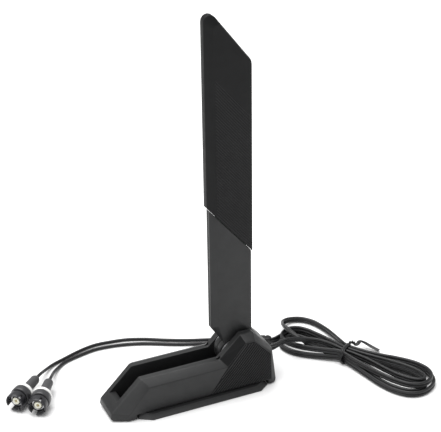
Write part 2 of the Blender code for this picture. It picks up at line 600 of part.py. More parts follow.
def make_plug(letter):
    """A push-on coax plug: boot, ring, collar, slotted skirt, contact, insulator and pin."""
    (x, y), heading, roll = PLUGS[letter]
    turn = Matrix.Rotation(heading, 4, "Z") @ Matrix.Rotation(math.pi / 2, 4, "Y")
    back = (x, y, PLUG_AXIS_Z)
    pieces = []
    boot_end, ring_end, collar_end = 13.0 * MM, 15.2 * MM, 19.6 * MM
    inner = GAP
    pieces.append(turned(f"plug_{letter}_boot",
                         [(1.1 * MM, 0), (1.6 * MM, 0), (2.5 * MM, 1.6 * MM), (2.8 * MM, 11.8 * MM),
                          (4.2 * MM, boot_end - 0.5 * MM), (4.2 * MM, boot_end),
                          (1.1 * MM, boot_end)], "boot_rubber", 24))
    pieces.append(turned(f"plug_{letter}_ring",
                         [(2.4 * MM, boot_end + inner), (4.9 * MM, boot_end + inner),
                          (5.3 * MM, boot_end + 0.8 * MM), (5.3 * MM, ring_end), (2.4 * MM, ring_end)],
                         "white_plastic", 28))
    pieces.append(turned(f"plug_{letter}_collar",
                         [(2.4 * MM, ring_end + inner), (4.9 * MM, ring_end + inner),
                          (5.4 * MM, ring_end + 0.9 * MM), (5.4 * MM, collar_end - 0.5 * MM),
                          (5.1 * MM, collar_end), (3.7 * MM, collar_end), (3.7 * MM, 17.1 * MM),
                          (2.4 * MM, 17.1 * MM)], "collar_plastic", 28))
    skirt = turned(f"plug_{letter}_skirt",
                   [(3.7 * MM, collar_end + inner), (4.4 * MM, collar_end + inner),
                    (4.5 * MM, 20.5 * MM), (5.0 * MM, 20.9 * MM), (5.0 * MM, PLUG_LENGTH - 0.6 * MM),
                    (4.7 * MM, PLUG_LENGTH), (4.1 * MM, PLUG_LENGTH), (3.7 * MM, PLUG_LENGTH - 1.0 * MM)],
                   "skirt_plastic", 28)
    slits = [box(f"cut_{letter}_skirt_cross", (-0.5 * MM, -7 * MM, 21.4 * MM),
                 (0.5 * MM, 7 * MM, 30 * MM)),
             box(f"cut_{letter}_skirt_top", (-7 * MM, -0.5 * MM, 21.4 * MM),
                 (0, 0.5 * MM, 30 * MM)),
             box(f"cut_{letter}_skirt_bottom", (0, -1.2 * MM, 21.2 * MM),
                 (7 * MM, 1.2 * MM, 30 * MM))]
    pieces.append(skirt)
    pieces.append(turned(f"plug_{letter}_contact",
                         [(2.05 * MM, 13.4 * MM), (2.1 * MM, 13.4 * MM), (2.1 * MM, 17.4 * MM),
                          (3.2 * MM, 17.8 * MM), (3.3 * MM, 22.6 * MM), (2.6 * MM, 22.6 * MM),
                          (2.4 * MM, 18.6 * MM), (1.5 * MM, 18.2 * MM), (1.5 * MM, 13.4 * MM)],
                         "steel", 24))
    pieces.append(turned(f"plug_{letter}_insulator",
                         [(0.75 * MM, 18.9 * MM), (2.0 * MM, 18.9 * MM), (2.0 * MM, 23.4 * MM),
                          (0.75 * MM, 23.4 * MM)], "insulator", 24))
    pieces.append(turned(f"plug_{letter}_pin",
                         [(0, 14.5 * MM), (0.45 * MM, 14.5 * MM), (0.45 * MM, 23.0 * MM), (0, 23.3 * MM)],
                         "gold", 16))
    for piece in pieces:
        place(piece, back, turn)
    for slit in slits:
        place(slit, back, turn @ Matrix.Rotation(roll, 4, "Z"))
        cut(skirt, slit)


def build():
    clear_scene()
    make_housing()
    make_plate()
    make_screws()
    make_ballast()
    make_neck_half("neck_half_near", -1)
    make_neck_half("neck_half_far", 1)
    make_sleeve()
    make_aerial_board()
    make_hinge()
    make_inner_coax()
    make_strain_relief()
    tube("twin_run_in", TWIN_IN_ROUTE, TWIN_RADIUS, "cable_jacket")
    make_hank()
    tube("twin_run_out", TWIN_OUT_ROUTE, TWIN_RADIUS, "cable_jacket")
    make_splitter()
    tube("lead_a", LEAD_A_ROUTE, LEAD_RADIUS, "cable_jacket")
    tube("lead_b", LEAD_B_ROUTE, LEAD_RADIUS, "cable_jacket")
    for letter in PLUGS:
        make_plug(letter)


build()
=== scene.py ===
"""Looks of the folding desktop aerial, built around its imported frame. Millimetres become metres by MM."""
import math

import bmesh
import bpy
from mathutils import Matrix, Vector


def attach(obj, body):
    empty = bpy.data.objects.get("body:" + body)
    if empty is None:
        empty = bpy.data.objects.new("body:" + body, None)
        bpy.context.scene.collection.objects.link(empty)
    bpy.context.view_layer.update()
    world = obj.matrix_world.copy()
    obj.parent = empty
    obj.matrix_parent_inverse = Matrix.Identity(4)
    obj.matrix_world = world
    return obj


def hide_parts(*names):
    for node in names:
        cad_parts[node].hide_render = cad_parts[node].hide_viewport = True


MM = 0.001
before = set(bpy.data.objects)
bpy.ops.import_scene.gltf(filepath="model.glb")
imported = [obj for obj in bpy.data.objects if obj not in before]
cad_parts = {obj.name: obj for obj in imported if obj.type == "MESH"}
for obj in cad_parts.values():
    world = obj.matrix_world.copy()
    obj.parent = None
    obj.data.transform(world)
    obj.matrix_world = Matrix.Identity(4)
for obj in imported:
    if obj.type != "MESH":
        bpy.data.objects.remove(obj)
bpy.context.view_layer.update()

# ---------------------------------------------------------------- camera, floor and light
CAMERA_PLACE = Vector((-0.2283, -0.5576, 0.4076))
CAMERA_AIM = Vector((0.0209, 0.0, 0.1013))
CAMERA_ROLL = math.radians(-0.84)
CAMERA_LENS = 109.55
FLOOR_WHITE = (0.93, 0.93, 0.93)
FLOOR_RADIUS, FLOOR_SIDES, FLOOR_Z = 6.0, 48, -0.05 * MM
AMBIENT = 0.58
SUN_SPREAD = math.radians(60)
KEY_FROM, KEY_ENERGY = (-0.15, 0.2, 1.0), 3.1
SIDE_FROM, SIDE_ENERGY = (-0.9, -0.2, 0.7), 0.55


def add_camera():
    data = bpy.data.cameras.new("camera")
    data.lens, data.sensor_width, data.sensor_fit = CAMERA_LENS, 36.0, "HORIZONTAL"
    data.clip_start, data.clip_end = 0.01, 50.0
    camera = bpy.data.objects.new("camera", data)
    bpy.context.scene.collection.objects.link(camera)
    turn = (CAMERA_AIM - CAMERA_PLACE).to_track_quat("-Z", "Y").to_matrix().to_4x4()
    camera.matrix_world = Matrix.Translation(CAMERA_PLACE) @ turn @ Matrix.Rotation(CAMERA_ROLL, 4, "Z")
    bpy.context.scene.camera = camera


def add_sun(name, direction, energy):
    """A soft sun shining from a direction."""
    data = bpy.data.lights.new(name, "SUN")
    data.energy, data.angle = energy, SUN_SPREAD
    lamp = bpy.data.objects.new(name, data)
    bpy.context.scene.collection.objects.link(lamp)
    lamp.matrix_world = Vector(direction).to_track_quat("Z", "Y").to_matrix().to_4x4()


def add_stage():
    mesh = bpy.data.meshes.new("floor")
    angles = [2 * math.pi * i / FLOOR_SIDES for i in range(FLOOR_SIDES)]
    ring = [(FLOOR_RADIUS * math.cos(angle), FLOOR_RADIUS * math.sin(angle), FLOOR_Z) for angle in angles]
    mesh.from_pydata(ring, [], [tuple(range(FLOOR_SIDES))])
    floor = bpy.data.objects.new("floor", mesh)
    bpy.context.scene.collection.objects.link(floor)
    paper = bpy.data.materials.new("pale_floor")
    paper.use_nodes = True
    shader = paper.node_tree.nodes["Principled BSDF"]
    shader.inputs["Base Color"].default_value = (*FLOOR_WHITE, 1)
    shader.inputs["Roughness"].default_value = 0.9
    shader.inputs["Specular IOR Level"].default_value = 0.1
    mesh.materials.append(paper)
    world = bpy.data.worlds.new("studio")
    world.use_nodes = True
    world.node_tree.nodes["Background"].inputs["Color"].default_value = (1, 1, 1, 1)
    world.node_tree.nodes["Background"].inputs["Strength"].default_value = AMBIENT
    bpy.context.scene.world = world
    add_sun("key", KEY_FROM, KEY_ENERGY)
    add_sun("side", SIDE_FROM, SIDE_ENERGY)
    bpy.context.scene.view_settings.view_transform = "Standard"


add_camera()
add_stage()

# ---------------------------------------------------------------- materials


def noise(tree, place, size, detail, roughness=0.55):
    """A noise whose features are about size metres across."""
    node = tree.nodes.new("ShaderNodeTexNoise")
    node.inputs["Scale"].default_value = 1 / size
    node.inputs["Detail"].default_value = detail
    node.inputs["Roughness"].default_value = roughness
    tree.links.new(place.outputs["Object"], node.inputs["Vector"])
    return node.outputs["Fac"]


def spread(tree, value, low, high, start=0.3, end=0.7):
    node = tree.nodes.new("ShaderNodeMapRange")
    node.inputs["From Min"].default_value = start
    node.inputs["From Max"].default_value = end
    node.inputs["To Min"].default_value = low
    node.inputs["To Max"].default_value = high
    tree.links.new(value, node.inputs["Value"])
    return node.outputs["Result"]


def blend_colour(tree, share, one, two):
    """One colour or socket turning into another by a share."""
    node = tree.nodes.new("ShaderNodeMix")
    node.data_type = "RGBA"
    tree.links.new(share, node.inputs["Factor"])
    for socket, colour in ((node.inputs[6], one), (node.inputs[7], two)):
        if isinstance(colour, tuple):
            socket.default_value = (*colour, 1)
        else:
            tree.links.new(colour, socket)
    return node.outputs[2]


def finish(name, colour, roughness, metallic=0.0, specular=0.4, grain=0.35, depth=0.02, uneven=0.12,
           rough_spread=0.08, wear=0.25):
    """Moulded plastic, rubber or metal: fine grain, faint mottling, uneven gloss, rubbed edges."""
    made = bpy.data.materials.new(name)
    made.use_nodes = True
    tree = made.node_tree
    shader = tree.nodes["Principled BSDF"]
    shader.inputs["Metallic"].default_value = metallic
    shader.inputs["Specular IOR Level"].default_value = specular
    place = tree.nodes.new("ShaderNodeTexCoord")

    broad = noise(tree, place, 14 * MM, 3)
    darker = tuple(value * (1 - uneven) for value in colour)
    lighter = tuple(min(1.0, value * (1 + uneven)) for value in colour)
    tone = blend_colour(tree, spread(tree, broad, 0, 1), darker, lighter)
    rubbed = tuple(min(1.0, value * 1.5 + 0.03) for value in colour)
    geometry = tree.nodes.new("ShaderNodeNewGeometry")
    edge = spread(tree, geometry.outputs["Pointiness"], 0, wear, 0.52, 0.6)
    tree.links.new(blend_colour(tree, edge, tone, rubbed), shader.inputs["Base Color"])

    smears = noise(tree, place, 5 * MM, 5, 0.65)
    tree.links.new(spread(tree, smears, roughness - rough_spread, roughness + rough_spread),
                   shader.inputs["Roughness"])
    bump = tree.nodes.new("ShaderNodeBump")
    bump.inputs["Strength"].default_value = 0.5
    bump.inputs["Distance"].default_value = depth * MM
    tree.links.new(noise(tree, place, grain * MM, 4), bump.inputs["Height"])
    tree.links.new(bump.outputs["Normal"], shader.inputs["Normal"])
    return made


BLACK = finish("black_moulding", (0.0135, 0.0139, 0.0143), 0.46, specular=0.36)
# Painted shade: a darker black laid as a skin on the ribbed field and on the cheek's slanted front face.
PAINTED_SHADE = finish("black_painted_shade", (0.0042, 0.0044, 0.0048), 0.5, specular=0.1, wear=0.1)
RIBS = finish("black_ribs", (0.0105, 0.0108, 0.0112), 0.42, specular=0.25, wear=0.1)
SLEEVE = finish("sleeve_moulding", (0.0075, 0.0077, 0.008), 0.5, specular=0.15)
JACKET = finish("cable_jacket_satin", (0.0085, 0.0087, 0.0095), 0.38, specular=0.4, grain=0.5, depth=0.01,
                wear=0.0)
RUBBER = finish("boot_rubber_grey", (0.07, 0.07, 0.073), 0.62, specular=0.35, grain=0.3, depth=0.03)
RELIEF = finish("relief_rubber", (0.03, 0.03, 0.031), 0.6, specular=0.35, depth=0.03)
WHITE = finish("ring_white", (0.86, 0.86, 0.85), 0.35, specular=0.5, uneven=0.02, wear=0.0)
COLLAR = finish("collar_dark", (0.036, 0.036, 0.039), 0.34, specular=0.55, grain=0.25, depth=0.01)
SKIRT = finish("skirt_dark", (0.02, 0.02, 0.023), 0.34, specular=0.4, grain=0.25, depth=0.01)
CREAM = finish("insulator_cream", (0.8, 0.79, 0.66), 0.4, specular=0.5, uneven=0.03, wear=0.0)
GOLD = finish("pin_gold", (0.62, 0.5, 0.24), 0.32, metallic=1.0, grain=0.15, depth=0.004, wear=0.0)
STEEL = finish("zinc_steel", (0.5, 0.5, 0.51), 0.36, metallic=1.0, grain=0.2, depth=0.006, wear=0.0)
COPPER = finish("bare_copper", (0.7, 0.38, 0.22), 0.38, metallic=1.0, grain=0.2, depth=0.006, wear=0.0)
ACETAL = finish("bush_acetal", (0.68, 0.67, 0.62), 0.45, grain=0.3, depth=0.006, uneven=0.04, wear=0.0)
MASK = finish("board_green", (0.02, 0.12, 0.055), 0.4, specular=0.5, grain=0.4, depth=0.006)
PAD = finish("pad_rubber_black", (0.014, 0.014, 0.014), 0.85, specular=0.2, grain=0.25, depth=0.05)

# ---------------------------------------------------------------- shapes


def mesh_piece(name, points, faces, material, smooth_angle=30):
    mesh = bpy.data.meshes.new(name)
    mesh.from_pydata([tuple(point) for point in points], [], faces)
    piece = bpy.data.objects.new(name, mesh)
    bpy.context.scene.collection.objects.link(piece)
    mesh.materials.append(material)
    tidy_mesh(piece, smooth_angle)
    return piece


def tidy_mesh(piece, smooth_angle=30):
    shape = bmesh.new()
    shape.from_mesh(piece.data)
    bmesh.ops.recalc_face_normals(shape, faces=shape.faces)
    shape.to_mesh(piece.data)
    shape.free()
    piece.data.shade_smooth()
    piece.data.set_sharp_from_angle(angle=math.radians(smooth_angle))


def loft(name, loops, material, caps=None):
    """A solid through loops of equally many points (in mm), closed by caps (lists of point numbers)."""
    count = len(loops[0])
    points = [Vector(point) * MM for loop in loops for point in loop]
    faces = []
    for here in range(0, len(points) - count, count):
        faces += [(here + i, here + (i + 1) % count, here + count + (i + 1) % count, here + count + i)
                  for i in range(count)]
    last = len(points) - count
    for cap in caps or [range(count)]:
        faces += [tuple(cap), tuple(last + i for i in cap)]
    return mesh_piece(name, points, faces, material)


def prism(name, outline, low_y, high_y, material=None):
    return loft(name, [[(x, y, z) for x, z in outline] for y in (low_y, high_y)], material)


def turned(name, profile, material, sides=64):
    """A body turned about its own Z axis from a closed profile of (radius, height) in mm."""
    points, rings, faces = [], [], []
    for radius, height in profile:
        steps = 1 if radius < 1e-9 else sides
        rings.append(list(range(len(points), len(points) + steps)))
        points += [Vector((radius * math.cos(2 * math.pi * i / sides),
                           radius * math.sin(2 * math.pi * i / sides), height)) * MM
                   for i in range(steps)]
    for one, two in zip(rings, rings[1:] + rings[:1]):
        if len(one) == len(two) == 1:
            continue
        for i in range(sides):
            j = (i + 1) % sides
            corners = [one[i % len(one)], one[j % len(one)], two[j % len(two)], two[i % len(two)]]
            faces.append(tuple(dict.fromkeys(corners)))
    return mesh_piece(name, points, faces, material, 40)


def bake_shape(piece):
    """Makes a piece's modifiers part of its mesh."""
    graph = bpy.context.evaluated_depsgraph_get()
    made = bpy.data.meshes.new_from_object(piece.evaluated_get(graph))
    piece.modifiers.clear()
    old, piece.data = piece.data, made
    bpy.data.meshes.remove(old)


def carve(piece, *others, operation="DIFFERENCE"):
    for other in others:
        change = piece.modifiers.new("carve", "BOOLEAN")
        change.operation, change.object, change.solver = operation, other, "EXACT"
    bake_shape(piece)
    for other in others:
        bpy.data.objects.remove(other, do_unlink=True)
    tidy_mesh(piece)
    return piece


def soften(piece, width, segments=3, angle=12.0):
    """Rounds the edges between faces that meet at more than the angle, by width in mm."""
    shape = bmesh.new()
    shape.from_mesh(piece.data)
    bmesh.ops.remove_doubles(shape, verts=shape.verts, dist=1e-6)
    bmesh.ops.dissolve_limit(shape, angle_limit=math.radians(0.5), verts=shape.verts, edges=shape.edges)
    sharp = [edge for edge in shape.edges
             if len(edge.link_faces) == 2 and edge.calc_face_angle() > math.radians(angle)]
    bmesh.ops.bevel(shape, geom=sharp, offset=width * MM, offset_type="OFFSET", segments=segments,
                    profile=0.5, affect="EDGES", clamp_overlap=True)
    shape.to_mesh(piece.data)
    shape.free()
    tidy_mesh(piece)
    return piece


def rounded(corners, segments=6):
    """Corners (x, z, radius) as an outline whose corners are arcs; each gives segments + 1 points."""
    outline = []
    for i, (x, z, radius) in enumerate(corners):
        corner = Vector((x, z))
        before = (Vector(corners[i - 1][:2]) - corner).normalized()
        after = (Vector(corners[(i + 1) % len(corners)][:2]) - corner).normalized()
        if radius <= 0:
            outline.append((x, z))
            continue
        half = before.angle(after) / 2
        centre = corner + (before + after).normalized() * (radius / math.sin(half))
        start = corner + before * (radius / math.tan(half)) - centre
        end = corner + after * (radius / math.tan(half)) - centre
        for step in range(segments + 1):
            turn = -start.angle_signed(end) * step / segments
            outline.append((centre.x + start.x * math.cos(turn) - start.y * math.sin(turn),
                            centre.y + start.x * math.sin(turn) + start.y * math.cos(turn)))
    return outline


def adopt(piece, body, slot, *nodes):
    """The piece rides on a body and stands for CAD nodes, which it hides. The slot is not used."""
    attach(piece, body)
    if nodes:
        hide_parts(*nodes)
    return piece


def ribs(name, lines, outward, material, width, height):
    """Fine raised ribs with sloping sides; each line is a path of points (mm) on a flat or bent face."""
    points, faces = [], []
    for line in lines:
        path = [Vector(point) for point in line]
        start = len(points)
        for number, here in enumerate(path):
            along = (path[min(number + 1, len(path) - 1)] - path[max(number - 1, 0)]).normalized()
            across = along.cross(outward).normalized()
            for side, rise in ((-0.5, -0.1), (-0.2, height), (0.2, height), (0.5, -0.1)):
                points.append((here + across * side * width + outward * rise) * MM)
        for ring in range(len(path) - 1):
            low = start + 4 * ring
            faces += [(low + i, low + (i + 1) % 4, low + 4 + (i + 1) % 4, low + 4 + i) for i in range(4)]
        faces += [(start, start + 1, start + 2, start + 3), tuple(range(len(points) - 4, len(points)))]
    return mesh_piece(name, points, faces, material)


# ---------------------------------------------------------------- foot
HINGE_X, HINGE_Z = 25.5, 21.0
TOP_HALF, SLOT_HALF, REAR_HALF = 8.5, 5.3, 11.4
WAIST_Z, WAIST_HALF, SOLE_HALF = 18.5, 13.5, 12.2


def side_wall_y(z):
    return min(WAIST_HALF, SOLE_HALF + (WAIST_HALF - SOLE_HALF) / WAIST_Z * z)


# The ribbed field on each side of the hinge: its front and rear edges (x, z), from the sole upwards
HATCH_FRONT = ((8.2, 3.6), (17.9, 18.45), (19.4, 20.2), (28.7, 30.4))
HATCH_REAR = ((44.0, 3.6), (43.2, 18.45), (43.0, 20.6), (33.4, 30.4))
HATCH_LEVELS = (3.6, 8.0, 12.0, 18.45, 20.3, 24.0, 30.4)
HATCH_SUNK, HATCH_PROUD = -0.3, 0.05
RIB_PITCH, RIB_LEAN, RIB_MARGIN = 1.72, 0.845, 0.35
RIB_WIDTH, RIB_HEIGHT = 0.75, 0.32
RIB_STEPS, RIB_STEP, RIB_LOWEST = 55, 0.48, 3.9

# The slanted face of the cheek in front of that field: corners (x, y, z) and how far in from them it reaches
CHEEK_FRONT = ((14.9, 8.5, 21.5), (27.6, 8.5, 33.6), (28.7, 13.5, 30.9), (17.8, 13.5, 18.5))
CHEEK_SHARES = ((0.03, 0.05), (0.98, 0.05), (0.98, 0.97), (0.03, 0.97))
CHEEK_SUNK, CHEEK_PROUD = -0.6, 0.1


def edge_x(edge, z):
    """Where an edge (x, z) of the ribbed field is at a height."""
    for (x1, z1), (x2, z2) in zip(edge, edge[1:]):
        if z <= z2:
            return x1 + (x2 - x1) * (z - z1) / (z2 - z1)
    return edge[-1][0]


def hatch_field(hand, sign):
    """The ground under the ribs, a thin skin that follows the side wall; its dark colour is painted shade
    between the ribs.
    """
    points = [Vector((edge_x(edge, z), sign * (side_wall_y(z) + lift), z)) * MM
              for z in HATCH_LEVELS for lift in (HATCH_SUNK, HATCH_PROUD)
              for edge in (HATCH_FRONT, HATCH_REAR)]
    rows = [(4 * i, 4 * i + 1, 4 * i + 3, 4 * i + 2) for i in range(len(HATCH_LEVELS))]
    faces = [rows[0], rows[-1]]
    for low, high in zip(rows, rows[1:]):
        faces += [(low[i], low[(i + 1) % 4], high[(i + 1) % 4], high[i]) for i in range(4)]
    return mesh_piece("foot_field_" + hand, points, faces, PAINTED_SHADE)


def cheek_front(hand, sign):
    """The skin on the cheek's slanted front face, dark with painted shade."""
    top_low, top_high, side_high, side_low = [Vector((x, sign * y, z)) for x, y, z in CHEEK_FRONT]
    outward = (top_high - top_low).cross(side_low - top_low).normalized()
    outward *= 1 if outward.x < 0 else -1
    corners = [top_low.lerp(top_high, u).lerp(side_low.lerp(side_high, u), v) for u, v in CHEEK_SHARES]
    points = [(corner + outward * lift) * MM for lift in (CHEEK_SUNK, CHEEK_PROUD) for corner in corners]
    faces = [(0, 1, 2, 3), (4, 5, 6, 7)] + [(i, (i + 1) % 4, (i + 1) % 4 + 4, i + 4) for i in range(4)]
    return mesh_piece("foot_front_" + hand, points, faces, PAINTED_SHADE)


def hatch_line(number, sign):
    """One slanted rib's path over the field: its ends, and where the wall bends."""
    path = []
    for step in range(RIB_STEPS):
        z = RIB_LOWEST + RIB_STEP * step
        x = 8.0 + RIB_PITCH * number + (z - 4.9) * RIB_LEAN
        if edge_x(HATCH_FRONT, z) + RIB_MARGIN <= x <= edge_x(HATCH_REAR, z) - RIB_MARGIN:
            path.append((x, sign * (side_wall_y(z) + HATCH_PROUD), z))
    if len(path) < 4:
        return None
    bend = [point for point in path if point[2] < WAIST_Z][-1:]
    return [path[0]] + [point for point in bend if point not in (path[0], path[-1])] + [path[-1]]


def add_texture():
    """The field on each side of the hinge, darkened with painted shade, with its slanted ribs, and the face
    before it, darkened with the same painted shade.
    """
    for hand, sign in (("near", -1), ("far", 1)):
        adopt(hatch_field(hand, sign), "foot", "black_plastic")
        adopt(cheek_front(hand, sign), "foot", "black_plastic")
        lines = [line for line in (hatch_line(number, sign) for number in range(-3, 27)) if line]
        adopt(ribs("foot_ribs_" + hand, lines, Vector((0, sign, 0)), RIBS, RIB_WIDTH, RIB_HEIGHT),
              "foot", "black_plastic")


def add_shell():
    """The foot's housing: faceted, slotted, bored for the hinge."""
    under = [(42.4, 0.3), (42.4, 3.0), (-33.5, 3.0), (-33.5, 0.3)]
    top_band = [(-45.8, 0.3), (-47.0, 2.0), (-46.3, 5.0), (-29.4, 21.5), (14.9, 21.5), (27.6, 33.6),
                (34.7, 33.6), (46.3, 20.6), (46.5, 18.5), (47.3, 2.2), (46.9, 0.3)] + under
    halves = [TOP_HALF] * 9 + [REAR_HALF] * 4 + [TOP_HALF] * 2
    side = [(-38.2, 0.3), (-38.9, 2.2), (-37.9, 4.0), (-26.3, 18.5), (17.8, 18.5), (28.7, 30.9),
            (33.6, 30.9), (43.4, 21.3), (43.6, 18.5), (44.5, 2.2), (44.2, 0.3)] + under
    loops = [[(x, -side_wall_y(z), z) for x, z in side],
             [(x, -half, z) for (x, z), half in zip(top_band, halves)],
             [(x, half, z) for (x, z), half in zip(top_band, halves)],
             [(x, side_wall_y(z), z) for x, z in side]]
    shell = loft("foot_shell", loops, BLACK, caps=[[4, 5, 6, 7, 8], [0, 1, 2, 3, 4, *range(8, 15)]])
    soften(shell, 0.45)
    slot = [(-60, 8.9), (-39.2, 8.9), (-38.9, 8.8), (-38.6, 8.4), (-36.7, 4.5), (-36.2, 4.2), (38.0, 4.2),
            (38.6, 4.8), (38.6, 60), (-60, 60)]
    cutters = [prism("cut_slot", slot, -SLOT_HALF, SLOT_HALF, BLACK)]
    for side_sign in (-1, 1):
        bore = turned(f"cut_bore_{side_sign}", [(0, 0), (3.55, 0), (3.55, 7.8), (0, 7.8)], BLACK)
        bore.matrix_world = (Matrix.Translation(Vector((HINGE_X, 0, HINGE_Z)) * MM)
                             @ Matrix.Rotation(-math.pi / 2 * side_sign, 4, "X"))
        cutters.append(bore)
        low, high = sorted((side_sign * 6.9, side_sign * 8.4))
        cutters.append(prism(f"cut_notch_{side_sign}", [(13.9, 20.9), (16.0, 20.9), (16.0, 26), (13.9, 26)],
                             low, high, BLACK))
    carve(shell, *cutters)
    adopt(shell, "foot", "black_plastic", "foot_housing")


def add_flange():
    """The plate under the foot, whose edge shows as a flange."""
    def outline(inset):
        shrink = (16.3 - inset) / 16.3
        near = [(x * (1 - inset / 40), -y * shrink)
                for x, y in ((-33.0, 12.0), (-26.4, 16.3), (36.2, 16.3), (41.8, 12.2))]
        return near + [(x, -y) for x, y in reversed(near)]

    levels = ((0.1, 0.15), (0.3, 0.0), (0.6, 0.0), (2.0, 1.45), (2.2, 1.6), (2.7, 1.9))
    plate = loft("foot_flange", [[(x, y, z) for x, y in outline(inset)] for z, inset in levels], BLACK)
    recess = [(-30.3, -10.4), (-26.6, -13.3), (34.6, -13.3), (38.7, -10.4)]
    recess += [(x, -y) for x, y in reversed(recess)]
    carve(plate, loft("cut_recess", [[(x, y, z) for x, y in recess] for z in (-1, 1.2)], BLACK))
    adopt(plate, "foot", "black_plastic", "foot_plate")


def add_relief():
    """The strain relief that the twin cable leaves through."""
    def ring(x, half_y, half_z, radius):
        corners = [(-half_y, -half_z, radius), (half_y, -half_z, radius), (half_y, half_z, radius),
                   (-half_y, half_z, radius)]
        return [(x, y, 14.5 + z) for y, z in rounded(corners, 5)]

    outside = [(44.0, 2.0, 2.6, 1.4), (47.15, 2.0, 2.6, 1.4), (47.2, 2.7, 3.3, 1.8), (47.8, 2.75, 3.35, 1.8),
               (47.9, 2.6, 3.2, 1.7), (48.0, 2.1, 2.7, 1.5), (48.7, 1.9, 2.55, 1.4), (49.2, 1.6, 2.3, 1.2)]
    inside = [(49.2, 1.0, 1.9, 0.9), (44.0, 1.0, 1.9, 0.9)]
    loops = [ring(*section) for section in outside + inside]
    count = len(loops[0])
    points = [Vector(point) * MM for loop in loops for point in loop]
    faces = [(a * count + i, a * count + (i + 1) % count, b * count + (i + 1) % count, b * count + i)
             for a, b in zip(range(len(loops)), [*range(1, len(loops)), 0]) for i in range(count)]
    adopt(mesh_piece("cable_relief", points, faces, RELIEF), "foot", "boot_rubber", "strain_relief")


def add_foot():
    add_shell()
    add_texture()
    add_flange()
    add_relief()


# ---------------------------------------------------------------- blade
SLEEVE_FRONT, SLEEVE_BACK = HINGE_X - 13.0, HINGE_X + 12.25
NECK_FRONT, NECK_BACK = HINGE_X - 11.7, HINGE_X + 11.6
STEP_FRONT_Z, STEP_SLOPE = 108.1, 1.172
TIP_FRONT_Z, TIP_SLOPE = 215.6, 1.28


def step_z(x):
    """Height of the sleeve's slanted lower edge."""
    return STEP_FRONT_Z - STEP_SLOPE * (x - SLEEVE_FRONT)


def add_sleeve():
    def outline(front, back, drop, tip_radius, back_radius):
        def top(x):
            return TIP_FRONT_Z - TIP_SLOPE * (x - SLEEVE_FRONT) - drop
        return rounded([(front, step_z(front), 0), (back, step_z(back), 0), (back, top(back), back_radius),
                        (front, top(front), tip_radius)])

    edge = outline(SLEEVE_FRONT, SLEEVE_BACK, 0.0, 3.5, 4.0)
    face = outline(SLEEVE_FRONT + 4.2, SLEEVE_BACK - 0.8, 1.3, 2.4, 3.4)
    sections = ((-4.0, face), (-1.95, edge), (1.95, edge), (4.0, face))
    sleeve = loft("sleeve_shell", [[(x, y, z) for x, z in outline] for y, outline in sections], SLEEVE)
    soften(sleeve, 0.3)
    carve(sleeve, prism("cut_pocket", [(17.0, 70), (36.4, 70), (36.4, 180.5), (17.0, 204.6)], -2.7, 2.7,
                        SLEEVE))
    adopt(sleeve, "blade", "sleeve_plastic", "sleeve")

    lines, left, right = [], SLEEVE_FRONT + 4.9, SLEEVE_BACK - 1.2
    for number in range(44):
        lift = 1.5 + 1.69 * number
        lines.append([(left, 4.0, step_z(left) + lift), (right, 4.0, step_z(right) + lift)])
    for hand, sign in (("near", -1), ("far", 1)):
        mirrored = [[(x, sign * y, z) for x, y, z in line] for line in lines]
        adopt(ribs("sleeve_ribs_" + hand, mirrored, Vector((0, sign, 0)), SLEEVE, 0.7, 0.12),
              "blade", "sleeve_plastic")


def add_neck():
    def knuckle(start, end, count):
        angles = [math.radians(start + (end - start) * step / (count - 1)) for step in range(count)]
        return [(HINGE_X + 8.2 * math.cos(angle), HINGE_Z + 8.2 * math.sin(angle)) for angle in angles]

    def outline(front, back):
        low = 37.4 + 0.3 * (front - NECK_FRONT)
        return ([(back, step_z(back) - 0.3), (front, step_z(front) - 0.3), (front, low)]
                + knuckle(128, 360, 25) + [(back, 28.0)])

    full, flat = outline(NECK_FRONT, NECK_BACK), outline(NECK_FRONT + 3.8, NECK_BACK - 0.7)
    for hand, sign in (("near", -1), ("far", 1)):
        loops = [[(x, sign * y, z) for x, z in shape]
                 for y, shape in ((0.15, full), (1.75, full), (3.6, flat))]
        neck = soften(loft("neck_shell_" + hand, loops, BLACK), 0.25)
        low, high = sorted((-sign, sign * 2.1))
        bore = turned("cut_neck_bore", [(0, 0), (3.55, 0), (3.55, 8), (0, 8)], BLACK)
        bore.matrix_world = (Matrix.Translation(Vector((HINGE_X, sign, HINGE_Z)) * MM)
                             @ Matrix.Rotation(-math.pi / 2 * sign, 4, "X"))
        pocket = [(17, 42), (35.5, 42), (35.5, 130), (17, 130)]
        channel = [(22.4, 17.8), (28.6, 17.8), (28.6, 43), (22.4, 43)]
        carve(neck, prism("cut_neck_pocket", pocket, low, high, BLACK),
              prism("cut_neck_channel", channel, low, high, BLACK), bore)
        adopt(neck, "blade", "black_plastic", "neck_half_" + hand)


# ---------------------------------------------------------------- splitter and plugs
PLUGS = {"a": ((-71.45, 40.15), 225.0, -41.0), "b": ((-66.05, 34.4), 237.0, -25.0)}
PLUG_AXIS_Z = 5.6
# The skirt's slits: opposite corners (x, y, z) of the boxes cut from it
SLITS = (((-0.5, -7, 21.4), (0.5, 7, 30)), ((-7, -0.5, 21.4), (0, 0.5, 30)), ((0, -1.2, 21.2), (7, 1.2, 30)))


def add_splitter():
    loops = []
    half = ((-7.0, 0.7), (-6.6, 0.84), (-5.4, 1.0), (-4.3, 1.0), (-4.1, 0.9), (-3.6, 0.9), (-3.4, 1.0))
    for x, share in half + tuple((-x, share) for x, share in reversed(half)):
        half_y, half_z = 2.6 * share, 2.2 * share
        corners = [(-half_y, -half_z, 1.1), (half_y, -half_z, 1.1), (half_y, half_z, 1.1),
                   (-half_y, half_z, 1.1)]
        loops.append([(x, y, z) for y, z in rounded(corners, 5)])
    block = loft("splitter_block", loops, JACKET)
    block.data.transform(Matrix.Translation(Vector((55.9, 27.3, 2.4)) * MM)
                         @ Matrix.Rotation(math.radians(155.0), 4, "Z"))
    return adopt(block, "foot", "cable_jacket", "splitter")


